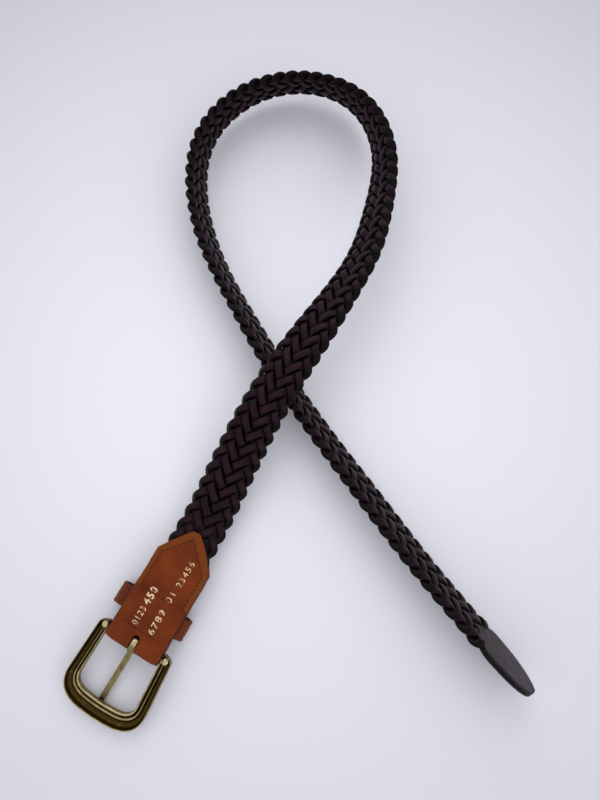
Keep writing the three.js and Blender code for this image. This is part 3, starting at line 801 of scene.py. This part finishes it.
def keeper_line():
    """Middle line of the strip in the XZ plane: along the top, raised where its own other end lies
    under it, down round the right bend, along the bottom, up round the left bend, and to that end."""
    low = LEATHER / 2
    high = LEATHER + TAIL_ROOM + LEATHER + FIT_GAP + LEATHER / 2
    radius = (high - low) / 2
    half = KEEPER_SIDE - LEATHER / 2 - radius
    left_half = KEEPER_LEFT_SIDE - LEATHER / 2 - radius
    x_top = np.linspace(LAP_FROM, half, 40)
    over = high + LAP_RISE * (1 - ease(x_top, *LAP_SLOPE))
    bend = np.radians(np.linspace(90, -90, 25))[1:]
    reach = radius * np.cos(bend)
    z_bend = low + radius + radius * np.sin(bend)
    x_bottom = np.linspace(half, -left_half, 30)[1:]
    x_end = np.linspace(-left_half, LAP_TO, 24)[1:]
    x = np.concatenate([x_top, half + reach, x_bottom, -left_half - reach[::-1][1:], x_end])
    z = np.concatenate([over, z_bend, 0 * x_bottom + low, z_bend[::-1][1:], 0 * x_end + high])
    return np.stack([x, z], -1)


keeper_path = keeper_line()
keeper_way = unit(np.gradient(keeper_path, axis=0))
keeper_out = np.stack([-keeper_way[:, 1], keeper_way[:, 0]], -1)
outline = strip_outline(18)
half_widths = np.full(len(keeper_path), KEEPER_WIDTH / 2)
u, v = strip_section(outline, half_widths, LEATHER / 2, KEEPER_CORNER)
from_crease = np.abs(u) - (KEEPER_WIDTH / 2 - CREASE_INSET)
crease = np.exp(-((from_crease / CREASE_WIDTH) ** 2)) * (v > 0)
v = v - CREASE_DEPTH * crease
out = keeper_path[:, None] + keeper_out[:, None] * v[..., None]
rings = np.stack([out[..., 0] + KEEPER_SHIFT[0], u + KEEPER_SHIFT[1], out[..., 1]], -1)
keeper_leather = tan_finish(
    "keeper_leather",
    light=(0.145, 0.028, 0.005, 1),
    dark=(0.10, 0.018, 0.004, 1),
    margin=(0.12, 0.03, 0.006, 1),
    edge=(0.02, 0.005, 0.002, 1),
)
rim = with_ends(np.maximum(np.abs(outline[:, 2]), crease * CREASE_DARKENING), 1)
points, faces = closed_skin(rings)
keeper = make_piece("keeper_leather", points, faces, "belt", keeper_leather, "tan_leather", rim=rim)
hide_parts("keeper_loop")

# Buckle frame: cast brass, domed on the front and hollow on the back, where two thin lips stand
# round a deep channel with a ledge in it. It was darkened and then rubbed, so that the lips and
# the ledge are bright. Its arms end in rounded lugs, which hold the bar.
BAR_RADIUS = 1.7
WINDOW_AT_BAR = 33.4
WINDOW_AT_FOOT = 36.1
WINDOW_LENGTH = 33.9
ARM_AT_BAR = 5.9
ARM_AT_FOOT = 7.4
BAR_LENGTH = WINDOW_AT_BAR + ARM_AT_BAR
FOOT_BAR = 9.1
WINDOW_CORNER = 8.4
FRAME_CORNER = 16.0
FOOT_SLOPE = 0.11
FOOT_RISE = 0.2
FRAME_THICKNESS = 4.5

# The round end of each arm, its least width and how far its inside moves, and the lug that it holds
ARM_END_LENGTH = 3.6
ARM_END_GAP = 0.15
ARM_END_CREEP = 0.5
LUG_HALF_SIZES = (2.3, 2.5, 2.1)
LUG_PLACE = (19.0, 0.5, 0.35)

# How bright the bar is rubbed, the lugs from low to high on them, and the arms beside the foot
BAR_RUB = 0.4
LUG_RUB = (0.3, 1.05)
LUG_RUB_HEIGHT = (0.6, 2.2)
ARM_RUB = 0.72
FOOT_RUB_REACH = 14.0

# The buckle droops about its bar until the prong, at this depth and reach, touches the surface
SHANK_DEPTH_FRONT = 4.65
PRONG_REACH = 39.8
SHANK_SLANT = math.atan2(SHANK_DEPTH_FRONT, PRONG_REACH)
FRAME_DROOP = math.asin(BAR_HEIGHT / math.hypot(SHANK_DEPTH_FRONT, PRONG_REACH)) - SHANK_SLANT

# Section: share from the window to the outside, share of half the thickness up to the back, and
# how far it is rubbed bright
FRAME_ACROSS = [0, 0.07, 0.22, 0.5, 0.78, 0.93, 1, 1, 1, 0.985, 0.955, 0.925, 0.90, 0.86, 0.78, 0.66,
                0.54, 0.47, 0.43, 0.385, 0.32, 0.26, 0.215, 0.18, 0.15, 0.11, 0.05, 0, 0]
FRAME_RISE = [-0.4, -0.66, -0.88, -1, -0.88, -0.66, -0.4, 0.2, 0.82, 0.97, 0.98, 0.82, 0.4, -0.15, -0.45,
              -0.5, -0.4, -0.05, 0.34, 0.5, 0.46, 0.2, -0.05, 0.05, 0.6, 0.94, 0.96, 0.8, 0.1]
FRAME_RUB = [0.5, 0.4, 0.4, 0.5, 0.4, 0.4, 0.5, 0.4, 0.9, 1, 0.9, 0.5, 0.1, 0, 0, 0,
             0, 0.15, 0.55, 0.85, 0.6, 0.15, 0, 0, 0.5, 0.95, 1, 0.7, 0.4]
LINE_STEPS = (26, 34, 40, 34, 26)
END_STEPS = 14
POLE_GAP = 0.02

BRASS_DARK = (0.066, 0.042, 0.010, 1)
BRASS_WARM = (0.23, 0.178, 0.076, 1)
BRASS_BRIGHT = (0.50, 0.41, 0.215, 1)


def frame_line(half_at_bar, half_at_foot, depth, corner):
    """U-shaped line: a straight arm, a quadratic corner, a quadratic bow for the foot, a corner and
    an arm, each in even steps of its parameter. Corner and bow have one tangent, of the foot's slope."""
    foot = FOOT_RISE + FOOT_SLOPE * (half_at_foot + corner) / 2 - depth
    knee = (half_at_bar + (half_at_foot - half_at_bar) * (depth - corner) / depth, -(depth - corner))
    turn_end = (half_at_foot - corner, foot - FOOT_SLOPE * corner)

    def curve(a, b, c, steps):
        t = np.linspace(0, 1, steps + 1)[1:, None]
        return (1 - t) ** 2 * np.array(a) + 2 * t * (1 - t) * np.array(b) + t * t * np.array(c)

    def mirrored(place):
        return (-place[0], place[1])

    start = (half_at_bar, 0.0)
    middle = ((start[0] + knee[0]) / 2, knee[1] / 2)
    elbow = (half_at_foot, foot)
    turns = [
        (start, middle, knee),
        (knee, elbow, turn_end),
        (turn_end, (0, foot - FOOT_SLOPE * half_at_foot), mirrored(turn_end)),
        (mirrored(turn_end), mirrored(elbow), mirrored(knee)),
        (mirrored(knee), mirrored(middle), mirrored(start)),
    ]
    return np.concatenate([[start]] + [curve(*turn, steps) for turn, steps in zip(turns, LINE_STEPS)])


def arm_ends(inside, outside):
    """Both lines with the round end of each arm added: the outside point goes a quarter of an ellipse
    round the end, while the inside point stays almost still."""
    angle = np.linspace(np.pi / 2, 0, END_STEPS + 1)[:-1]
    near = inside[0, 0]
    start = near + ARM_END_GAP
    sweep = outside[0, 0] - start
    swept = np.stack([start + sweep * np.cos(angle), ARM_END_LENGTH * np.sin(angle)], -1)
    held = np.stack([np.full_like(angle, near), ARM_END_CREEP * np.sin(angle)], -1)
    flip = np.array([-1, 1])
    return (
        np.concatenate([held, inside, held[::-1] * flip]),
        np.concatenate([swept, outside, swept[::-1] * flip]),
    )


def droop(points):
    """Turns points about the bar by the angle at which the buckle lies, and moves them to the bar."""
    x, y, z = points[..., 0], points[..., 1], points[..., 2]
    c, s = math.cos(FRAME_DROOP), math.sin(FRAME_DROOP)
    return np.stack([x, BAR_Y + y * c - z * s, BAR_HEIGHT + y * s + z * c], -1)


def frame_skins():
    """The channel, as the section carried between the window's line and the outside line, then the
    bar as a round rod, and the lug at each end of the bar as an ellipsoid."""
    half_at_bar = WINDOW_AT_BAR / 2 + ARM_AT_BAR
    half_at_foot = WINDOW_AT_FOOT / 2 + ARM_AT_FOOT
    inside, outside = arm_ends(
        frame_line(WINDOW_AT_BAR / 2, WINDOW_AT_FOOT / 2, WINDOW_LENGTH, WINDOW_CORNER),
        frame_line(half_at_bar, half_at_foot, WINDOW_LENGTH + FOOT_BAR, FRAME_CORNER),
    )
    place = np.arange(0, len(FRAME_ACROSS), 0.5)
    across = np.clip(through(FRAME_ACROSS, place, closed=True), 0, 1)
    rise = through(FRAME_RISE, place, closed=True)
    rub = np.clip(through(FRAME_RUB, place, closed=True), 0, 1)
    flat = inside[:, None] + (outside - inside)[:, None] * across[None, :, None]
    height = np.broadcast_to(rise * FRAME_THICKNESS / 2, flat.shape[:2])
    foot = ease(-flat[..., 1], WINDOW_LENGTH - FOOT_RUB_REACH, WINDOW_LENGTH)
    shade = rub * (ARM_RUB + (1 - ARM_RUB) * foot)
    points, faces = closed_skin(np.concatenate([flat, height[..., None]], -1))
    skins = [(points, faces, with_ends(shade, 0.5))]

    angle = np.linspace(0, 2 * np.pi, 24, endpoint=False)
    rod = np.stack([0 * angle, BAR_RADIUS * np.cos(angle), BAR_RADIUS * np.sin(angle)], -1)
    ends = np.array([(-BAR_LENGTH / 2, 0, 0), (BAR_LENGTH / 2, 0, 0)])
    points, faces = closed_skin(ends[:, None] + rod)
    skins.append((points, faces, np.full(len(points), BAR_RUB)))

    polar = np.linspace(POLE_GAP, np.pi - POLE_GAP, 25)[:, None]
    axes = np.cos(polar), np.sin(polar) * np.cos(angle), np.sin(polar) * np.sin(angle)
    ball = np.stack(np.broadcast_arrays(*axes), -1)
    low_rub, high_rub = LUG_RUB
    for side in (-1, 1):
        points, faces = closed_skin(ball * LUG_HALF_SIZES + np.array(LUG_PLACE) * (side, 1, 1))
        shade = low_rub + (high_rub - low_rub) * ease(points[:, 2], *LUG_RUB_HEIGHT)
        skins.append((points, faces, shade))
    return join_skins(skins)


def brass_finish(name):
    """Darkened brass: near-black brown in the hollows, warm brass where the shade says it is rubbed,
    with small nicks and a cloudy edge between them."""
    material, tree, shader = start_finish(name, metallic=1.0)
    rubbed = read_shade(tree, "rub")
    nicks = spread(tree, noise(tree, 380, 5, 0.65), 0.25, 0.75, -0.32, 0.32)
    worn = add_node(tree, "ShaderNodeMath", {0: rubbed, 1: nicks}, operation="ADD").outputs[0]
    tint = blend_colours(tree, spread(tree, worn, 0.05, 0.55), BRASS_DARK, BRASS_WARM)
    tint = blend_colours(tree, spread(tree, worn, 0.6, 1.05), tint, BRASS_BRIGHT)
    tree.links.new(tint, shader.inputs["Base Color"])
    tree.links.new(spread(tree, worn, 0, 1, 0.5, 0.27), shader.inputs["Roughness"])
    add_grain(tree, shader, noise(tree, 700, 5, 0.6), 0.08)
    return material


antique_brass = brass_finish("antique_brass")
points, faces, rub = frame_skins()
buckle = make_piece("frame_brass", droop(points), faces, "frame", antique_brass, "antique_brass", rub=rub)
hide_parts("buckle_frame")

# Prong: one flat strip of brass, its wide end curled round the bar inside the tab's slot, its
# narrower shank lying across the window and under the foot of the frame.
CURL_WIDTH = 3.5
CURL_THICKNESS = 1.6
SHANK_WIDTH = 3.1
SHANK_THICKNESS = 2.1
CURL_MIDDLE = 2.8
PRONG_END = 4.3
PRONG_LENGTH = 41.9
PRONG_STRAIGHT = 17.0
PRONG_LEAN = 1.6
SHANK_BEND = 31.8
SHANK_DEPTH = 3.6
CURL_TO_SHANK = (3.0, 6.0)
CURL_CROWN = 0.22
PRONG_CORNER = 0.45

# The rounding over of both ends: its length, and how far round it goes
SHANK_END_ROUND = 2.2
SHANK_END_CUT = 0.995
CURL_END_ROUND = 0.7
CURL_END_CUT = 0.9
CURL_END_WIDTH = 0.85

# Rubbed brighter on its sides, and most where it stands highest over the bar
PRONG_RUB = 0.5
SIDE_RUB = 0.3
CROWN_RUB = 0.55
CROWN_PLACE = 0.6
CROWN_REACH = 1.7


def prong_rings():
    """A strip whose middle runs from its short end to the bar, half round it, and along the shank.
    Width and thickness ease from the curl's to the shank's, both ends are rounded over, and the
    shank leans a little to the left."""
    end_y = np.linspace(-PRONG_END, 0, 12)
    bend = np.radians(np.linspace(90, -90, 28))[1:-1]
    shank_y = np.linspace(0, -PRONG_LENGTH, 60)
    y = np.concatenate([end_y, CURL_MIDDLE * np.cos(bend), shank_y])
    depth = CURL_MIDDLE + (SHANK_DEPTH - CURL_MIDDLE) * ease(-shank_y, PRONG_STRAIGHT, SHANK_BEND)
    z = np.concatenate([0 * end_y + CURL_MIDDLE, CURL_MIDDLE * np.sin(bend), -depth])
    travelled = np.concatenate([[0], np.cumsum(np.hypot(np.diff(y), np.diff(z)))])
    remaining = travelled[-1] - travelled
    past_curl = ease(-y, *CURL_TO_SHANK) * (z < 0)
    lean = PRONG_LEAN * np.clip(-y / PRONG_LENGTH, 0, 1) * (z < 0)
    shank_end = np.sqrt(1 - np.clip(1 - remaining / SHANK_END_ROUND, 0, SHANK_END_CUT) ** 2)
    curl_end = np.sqrt(1 - np.clip(1 - travelled / CURL_END_ROUND, 0, CURL_END_CUT) ** 2)
    width = (CURL_WIDTH + (SHANK_WIDTH - CURL_WIDTH) * past_curl) * shank_end
    width = width * (CURL_END_WIDTH + (1 - CURL_END_WIDTH) * curl_end)
    thick = (CURL_THICKNESS + (SHANK_THICKNESS - CURL_THICKNESS) * past_curl) * shank_end * curl_end
    way = unit(np.gradient(np.stack([y, z], -1), axis=0))
    out = np.stack([-way[:, 1], way[:, 0]], -1)
    outline = strip_outline(6)
    corner = PRONG_CORNER * np.minimum(1, np.minimum(width, thick))[:, None]
    u, v = strip_section(outline, width / 2, thick / 2, corner)
    v = v + CURL_CROWN * (1 - (2 * u / width[:, None]) ** 2) * (v > 0) * (1 - past_curl)[:, None]
    rings = np.stack([u - lean[:, None], y[:, None] + out[:, :1] * v, z[:, None] + out[:, 1:] * v], -1)
    crown = np.exp(-(((y - CROWN_PLACE) / CROWN_REACH) ** 2)) * (z > 0)
    shade = PRONG_RUB + SIDE_RUB * np.abs(outline[:, 2]) + CROWN_RUB * crown[:, None]
    return rings, np.clip(shade, 0, 1)


rings, rub = prong_rings()
points, faces = closed_skin(rings)
rub = with_ends(rub, PRONG_RUB)
prong = make_piece("prong_brass", droop(points), faces, "prong", antique_brass, "antique_brass", rub=rub)
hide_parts("buckle_prong")
